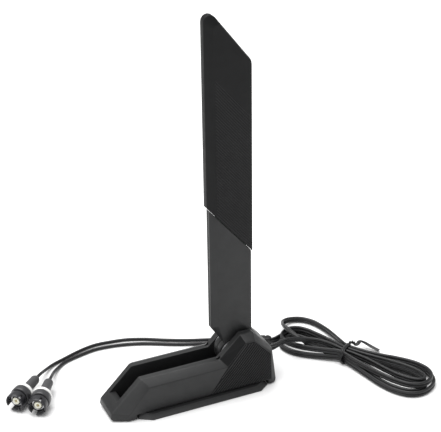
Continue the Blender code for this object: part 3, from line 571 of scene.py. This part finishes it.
def add_plug(letter):
    """A push-on coax plug: boot, ring, collar, slotted skirt, contact, insulator and pin."""
    (x, y), heading, roll = PLUGS[letter]
    turn = Matrix.Rotation(math.radians(heading), 4, "Z") @ Matrix.Rotation(math.pi / 2, 4, "Y")
    place = Matrix.Translation(Vector((x, y, PLUG_AXIS_Z)) * MM) @ turn
    parts = {
        "boot": (RUBBER, "boot_rubber",
                 [(1.0, 0.1), (1.2, 0), (1.6, 0.05), (1.8, 0.25), (2.4, 1.35), (2.55, 1.8), (2.8, 11.7),
                  (3.0, 12.1), (4.0, 12.5), (4.2, 12.65), (4.2, 12.9), (4.1, 13.0), (1.0, 13.0)]),
        "ring": (WHITE, "white_plastic",
                 [(2.4, 13.3), (4.9, 13.3), (5.15, 13.4), (5.3, 13.7), (5.3, 15.0), (5.15, 15.2),
                  (2.4, 15.2)]),
        "collar": (COLLAR, "collar_plastic",
                   [(2.4, 15.5), (4.9, 15.5), (5.2, 15.65), (5.37, 16.0), (5.4, 16.5), (5.4, 18.9),
                    (5.3, 19.3), (5.1, 19.55), (4.9, 19.6), (3.7, 19.6), (3.7, 17.1), (2.4, 17.1)]),
        "skirt": (SKIRT, "skirt_plastic",
                  [(3.7, 19.9), (4.4, 19.9), (4.4, 20.5), (4.8, 20.6), (4.97, 20.9), (5.0, 21.4), (5.0, 24.6),
                   (4.9, 25.1), (4.7, 25.4), (4.45, 25.5), (4.1, 25.5), (3.85, 25.1), (3.7, 24.4)]),
        "contact": (STEEL, "steel",
                    [(2.05, 13.4), (2.1, 13.4), (2.1, 17.4), (3.2, 17.8), (3.3, 22.4), (3.2, 22.6),
                     (2.6, 22.6), (2.4, 18.6), (1.5, 18.2), (1.5, 13.4)]),
        "insulator": (CREAM, "insulator",
                      [(0.75, 18.9), (2.0, 18.9), (2.0, 23.15), (1.9, 23.35), (1.75, 23.4), (0.95, 23.4),
                       (0.8, 23.3), (0.75, 23.1)]),
        "pin": (GOLD, "gold",
                [(0, 14.5), (0.45, 14.5), (0.45, 22.8), (0.38, 23.1), (0.2, 23.28), (0, 23.3)]),
    }
    pieces = []
    for part, (material, slot, profile) in parts.items():
        piece = turned(f"plug_{letter}_{part}_shape", profile, material)
        if part == "skirt":
            slits = []
            for number, (low, high) in enumerate(SLITS):
                outline = [(low[0], low[1]), (high[0], low[1]), (high[0], high[1]), (low[0], high[1])]
                slit = loft(f"cut_slit_{number}", [[(px, py, z) for px, py in outline]
                                                   for z in (low[2], high[2])], material)
                slit.data.transform(Matrix.Rotation(math.radians(roll), 4, "Z"))
                slits.append(slit)
            carve(piece, *slits)
        piece.data.transform(place)
        pieces.append(adopt(piece, "foot", slot, f"plug_{letter}_{part}"))
    return pieces


# ---------------------------------------------------------------- hidden CAD nodes that stay
def dress_nodes():
    finishes = {"foot_pad": PAD, "plate_screw": STEEL, "ballast_bar": STEEL, "coax_link": JACKET,
                "coax_tail": JACKET, "aerial_board": MASK, "radiator": COPPER, "hinge_bush": ACETAL,
                "friction_washer": STEEL}
    for node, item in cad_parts.items():
        for start, material in finishes.items():
            if node.startswith(start):
                for material_slot in item.material_slots:
                    material_slot.material = material


# ---------------------------------------------------------------- cords
LEAD_WIDTH = 1.8 * MM
WAIST = Vector((92.0, -7.0, 0.0))
HANK_TURN = math.radians(-62.0)


def smooth_path(knots, spacing):
    """Evenly spaced points, each with its roll, on a smooth curve through knots (x, y, z, roll)."""
    knots = [Vector(knot) for knot in knots]
    ends = [knots[0] * 2 - knots[1]] + knots + [knots[-1] * 2 - knots[-2]]
    fine = []
    for p0, p1, p2, p3 in zip(ends, ends[1:], ends[2:], ends[3:]):
        times = [0.0]
        for one, two in ((p0, p1), (p1, p2), (p2, p3)):
            times.append(times[-1] + max(1e-6, (two.xyz - one.xyz).length) ** 0.5)
        t0, t1, t2, t3 = times
        for step in range(16):
            t = t1 + (t2 - t1) * step / 16
            a1 = p0.lerp(p1, (t - t0) / (t1 - t0))
            a2 = p1.lerp(p2, (t - t1) / (t2 - t1))
            a3 = p2.lerp(p3, (t - t2) / (t3 - t2))
            fine.append(a1.lerp(a2, (t - t0) / (t2 - t0)).lerp(
                a2.lerp(a3, (t - t1) / (t3 - t1)), (t - t1) / (t2 - t1)))
    fine.append(knots[-1])
    lengths = [0.0]
    for one, two in zip(fine, fine[1:]):
        lengths.append(lengths[-1] + (two.xyz - one.xyz).length)
    pieces, at, points = max(2, round(lengths[-1] / spacing)), 0, []
    for piece in range(pieces + 1):
        target = lengths[-1] * piece / pieces
        while at < len(fine) - 2 and lengths[at + 1] < target:
            at += 1
        share = (target - lengths[at]) / (lengths[at + 1] - lengths[at])
        points.append(fine[at].lerp(fine[at + 1], min(1.0, share)))
    return points


LEG_SHARES = (0.17, 0.36, 0.56, 0.74)
LEG_FULLNESS = (0.28, 0.61, 0.9, 1.0)
LEG_SETTLE = (0.3, 0.7, 1.0, 1.0)
CAP_SHARES = (0.89, 0.975)
CAP_FULLNESS = (0.86, 0.5)
ON_EDGE = 88                # the twin's roll in degrees where it stands on its edge


def lobe(side, reach, first, last):
    """Knots round one end of the hank: out along one leg, round the end, back along the other.

    Each leg is (across and height at the waist, across and height in the loop, how late it opens).
    """
    middle = (first[2] + last[2]) / 2
    top = (first[3] + last[3]) / 2
    out, back = [], []
    for knots, (across, height, leg, level, late) in ((out, first), (back, last)):
        for share, full, settle in zip(LEG_SHARES, LEG_FULLNESS, LEG_SETTLE):
            knots.append((side * reach * share, across + (leg - across) * full ** late,
                          height + (level - height) * settle, ON_EDGE))
        for share, full in zip(CAP_SHARES, CAP_FULLNESS):
            knots.append((side * reach * share, middle + (leg - middle) * full,
                          level + (top - level) * (1 - full), ON_EDGE))
    return out + [(side * reach, middle, top, ON_EDGE)] + back[::-1]


# Where the twin passes under the tie: (across, height)
LOW, HIGH = 2.75, 6.4
NEAR_OUT, NEAR_IN, FAR_IN, FAR_OUT = -4.6, -2.2, 0.2, 2.6


def hank_knots():
    """The tied hank, (along, across, height, roll) from the waist, in the order the cable is wound."""
    knots = [(-22.1, -11.2, 9.9, 70), (-18.5, -7.8, 9.4, 72), (-13.4, -5.1, 8.9, 75),
             (-7.6, -3.5, 8.1, 80), (-3.0, -2.5, 7.0, 85), (0.0, NEAR_IN, HIGH, ON_EDGE)]
    knots += lobe(1, 51.0, (NEAR_IN, HIGH, -5.9, 6.6, 3.0), (FAR_IN, HIGH, 4.6, 6.2, 1.8))
    knots.append((0.0, FAR_IN, HIGH, ON_EDGE))
    knots += lobe(-1, 37.6, (FAR_IN, HIGH, 4.2, 5.65, 1.0), (NEAR_OUT, HIGH, -12.4, 5.6, 1.0))
    knots.append((0.0, NEAR_OUT, HIGH, ON_EDGE))
    knots += lobe(1, 53.2, (NEAR_OUT, HIGH, -9.5, 5.4, 0.9), (FAR_OUT, HIGH, 10.9, 5.6, 1.9))
    knots.append((0.0, FAR_OUT, HIGH, ON_EDGE))
    knots += [(-6.0, 5.7, 5.5, ON_EDGE), (-13.3, 10.9, 3.6, ON_EDGE), (-23.8, 16.6, 2.1, ON_EDGE),
              (-34.0, 18.9, 1.95, ON_EDGE), (-41.6, 17.4, 1.95, ON_EDGE), (-46.2, 12.8, 2.2, 84),
              (-46.5, 7.8, 3.2, 72), (-43.7, 3.0, 5.0, 55), (-38.7, -2.3, 8.0, 30),
              (-33.3, -6.1, 9.2, 20), (-27.6, -7.8, 8.8, 30), (-22.6, -7.9, 7.4, 55),
              (-18.0, -7.6, 5.6, 80), (-13.5, -6.6, 4.9, ON_EDGE), (-8.5, -4.8, 4.0, ON_EDGE),
              (-4.0, -3.1, 3.1, ON_EDGE), (0.0, NEAR_IN, LOW, ON_EDGE)]
    knots += lobe(1, 51.8, (NEAR_IN, LOW, -11.0, 1.95, 1.4), (FAR_IN, LOW, 6.4, 1.95, 1.0))
    knots.append((0.0, FAR_IN, LOW, ON_EDGE))
    knots += lobe(-1, 37.2, (FAR_IN, LOW, 1.6, 1.95, 1.0), (NEAR_OUT, LOW, -14.2, 1.95, 1.0))
    knots.append((0.0, NEAR_OUT, LOW, ON_EDGE))
    knots += lobe(1, 54.6, (NEAR_OUT, LOW, -13.3, 1.95, 1.3), (FAR_OUT, LOW, 12.9, 1.95, 1.9))
    knots.append((0.0, FAR_OUT, LOW, ON_EDGE))
    knots += [(-7.0, 3.2, 2.3, ON_EDGE), (-15.0, 4.0, 1.95, ON_EDGE), (-25.0, 4.4, 1.95, ON_EDGE),
              (-31.5, 4.0, 1.95, ON_EDGE), (-36.6, 2.2, 1.95, 84), (-39.2, -1.8, 1.95, 80),
              (-40.1, -6.0, 1.9, 70), (-40.3, -9.2, 2.0, 40), (-42.0, -12.2, 2.3, 12),
              (-43.5, -13.0, 2.4, 0)]
    return knots


def twin_knots():
    knots = [(49.2, 0.0, 14.5, 90), (51.5, 0.3, 14.4, 88), (54.6, 2.1, 13.8, 85), (57.8, 4.2, 13.1, 80),
             (61.7, 6.2, 12.1, 76), (66.6, 7.4, 11.0, 72)]
    turn = Matrix.Rotation(HANK_TURN, 4, "Z")
    for along, across, height, roll in hank_knots():
        place = WAIST + turn @ Vector((along, across, height))
        knots.append((*place, roll))
    return [(x * MM, y * MM, z * MM, math.radians(roll)) for x, y, z, roll in knots]


TIE_KNOTS = [(1.0, 3.0, 8.5, 0), (1.3, -1.0, 8.75, 0), (1.8, -4.6, 8.4, 0), (2.1, -6.2, 6.9, 0),
             (2.3, -6.5, 4.0, 0), (2.4, -6.2, 1.4, 0), (2.3, -4.9, 0.5, 0), (1.9, -1.0, 0.45, 0),
             (1.5, 2.6, 0.5, 0), (1.2, 4.2, 1.6, 0), (1.0, 4.6, 4.2, 0), (0.8, 4.5, 7.0, 60),
             (1.0, 4.4, 8.3, 240), (1.7, 4.9, 8.9, 420), (2.5, 5.8, 8.3, 600), (2.7, 7.0, 6.9, 760),
             (2.5, 9.4, 5.7, 840), (2.0, 12.2, 5.3, 880), (1.6, 14.3, 4.7, 900), (3.4, 15.7, 3.7, 900),
             (7.4, 16.5, 2.2, 900), (12.3, 17.0, 1.1, 900)]


def add_tie():
    turn = Matrix.Rotation(HANK_TURN, 4, "Z")
    knots = [(*((WAIST + turn @ Vector(knot[:3])) * MM), math.radians(knot[3])) for knot in TIE_KNOTS]
    path = smooth_path(knots, 0.5 * MM)
    section = [(-1.1, 0.16), (-0.5, 0.24), (-0.25, 0.5), (0.25, 0.5), (0.5, 0.24), (1.1, 0.16),
               (1.1, -0.16), (0.5, -0.24), (0.25, -0.5), (-0.25, -0.5), (-0.5, -0.24), (-1.1, -0.16)]
    tie = sweep("tie", path, [(x * MM, y * MM) for x, y in section], JACKET)
    return adopt(tie, "foot", "cable_jacket", "twist_tie")


def twin_section():
    """Outline of the figure-of-eight jacket: (across its width, through its thickness)."""
    radius, offset, web = 0.88 * MM, 0.92 * MM, 0.22 * MM
    widest = math.pi - math.asin(web / radius)
    right = []
    for step in range(11):
        angle = -widest + 2 * widest * step / 10
        right.append((offset + radius * math.cos(angle), radius * math.sin(angle)))
    return right + [(-x, -y) for x, y in right]


def sweep(name, path, section, material):
    """A tube of any section along path points that carry their roll."""
    points, faces, count = [], [], len(section)
    for number, here in enumerate(path):
        before, after = path[max(0, number - 1)], path[min(len(path) - 1, number + 1)]
        along = (after.xyz - before.xyz).normalized()
        level = along.cross(Vector((0, 0, 1))).normalized()
        rise = level.cross(along)
        wide = level * math.cos(here.w) + rise * math.sin(here.w)
        thin = along.cross(wide)
        points += [here.xyz + wide * x + thin * y for x, y in section]
    for ring in range(len(path) - 1):
        for i in range(count):
            j = (i + 1) % count
            low, high = ring * count, (ring + 1) * count
            faces.append((low + i, low + j, high + j, high + i))
    faces += [tuple(range(count)), tuple(range(len(points) - count, len(points)))]
    return mesh_piece(name, points, faces, material, 50)


def lead_piece(name, route, material):
    path = smooth_path([(x * MM, y * MM, z * MM, 0) for x, y, z in route], 2.0 * MM)
    curve = bpy.data.curves.new(name, "CURVE")
    curve.dimensions, curve.bevel_depth, curve.bevel_resolution = "3D", LEAD_WIDTH / 2, 4
    curve.use_fill_caps = True
    spline = curve.splines.new("POLY")
    spline.points.add(len(path) - 1)
    for spot, point in zip(spline.points, path):
        spot.co = (*point.xyz, 1.0)
    spline.use_smooth = True
    curve.materials.append(material)
    piece = bpy.data.objects.new(name, curve)
    bpy.context.scene.collection.objects.link(piece)
    return piece, sum((two.xyz - one.xyz).length for one, two in zip(path, path[1:]))


LEAD_ROUTES = {
    "a": [(49.8, 31.5, 2.4), (47.1, 32.8, 2.2), (42, 36.2, 1.2), (36, 40.2, .95), (29, 43.2, .95),
          (22, 46, .95), (14, 49.8, .95), (6, 54.2, .95), (-1.5, 58.6, .95), (-11, 62.6, .95),
          (-20, 64.3, .95), (-29, 65, .95), (-36, 63.8, .95), (-43, 61.6, .95), (-50, 58.8, .95),
          (-57, 55.8, 1.1), (-62.9, 50.9, 2.2), (-66.6, 46.2, 4), (-69.1, 42.8, 5.2), (-71.25, 40.35, 5.6)],
    "b": [(48.7, 29.3, 2.4), (46, 30.6, 2.2), (40.5, 33.3, 1.2), (34, 36.6, .95), (27, 39.6, .95),
          (20, 42.4, .95), (12, 46, .95), (4, 50.4, .95), (-4, 54.6, .95), (-13, 57.9, .95),
          (-22, 59.9, .95), (-31, 60.5, .95), (-38, 59.2, .95), (-44.5, 57.5, .95), (-50.7, 55.2, .95),
          (-56.4, 50.6, 1.3), (-60.3, 45.4, 2.6), (-62.9, 40.2, 4.4), (-64.6, 37, 5.3), (-65.9, 34.7, 5.6)],
}


def add_cords():
    path = smooth_path(twin_knots(), 1.6 * MM)
    length = sum((two.xyz - one.xyz).length for one, two in zip(path, path[1:]))
    twin = sweep("twin_cable", path, twin_section(), JACKET)
    adopt(twin, "foot", "cable_jacket", "twin_run_in", "twin_hank", "twin_run_out")
    add_splitter()
    add_tie()
    for letter, route in LEAD_ROUTES.items():
        lead, length = lead_piece("lead_" + letter + "_cable", route, JACKET)
        adopt(lead, "foot", "cable_jacket", "lead_" + letter)
        add_plug(letter)


add_foot()
add_sleeve()
add_neck()
add_cords()
dress_nodes()
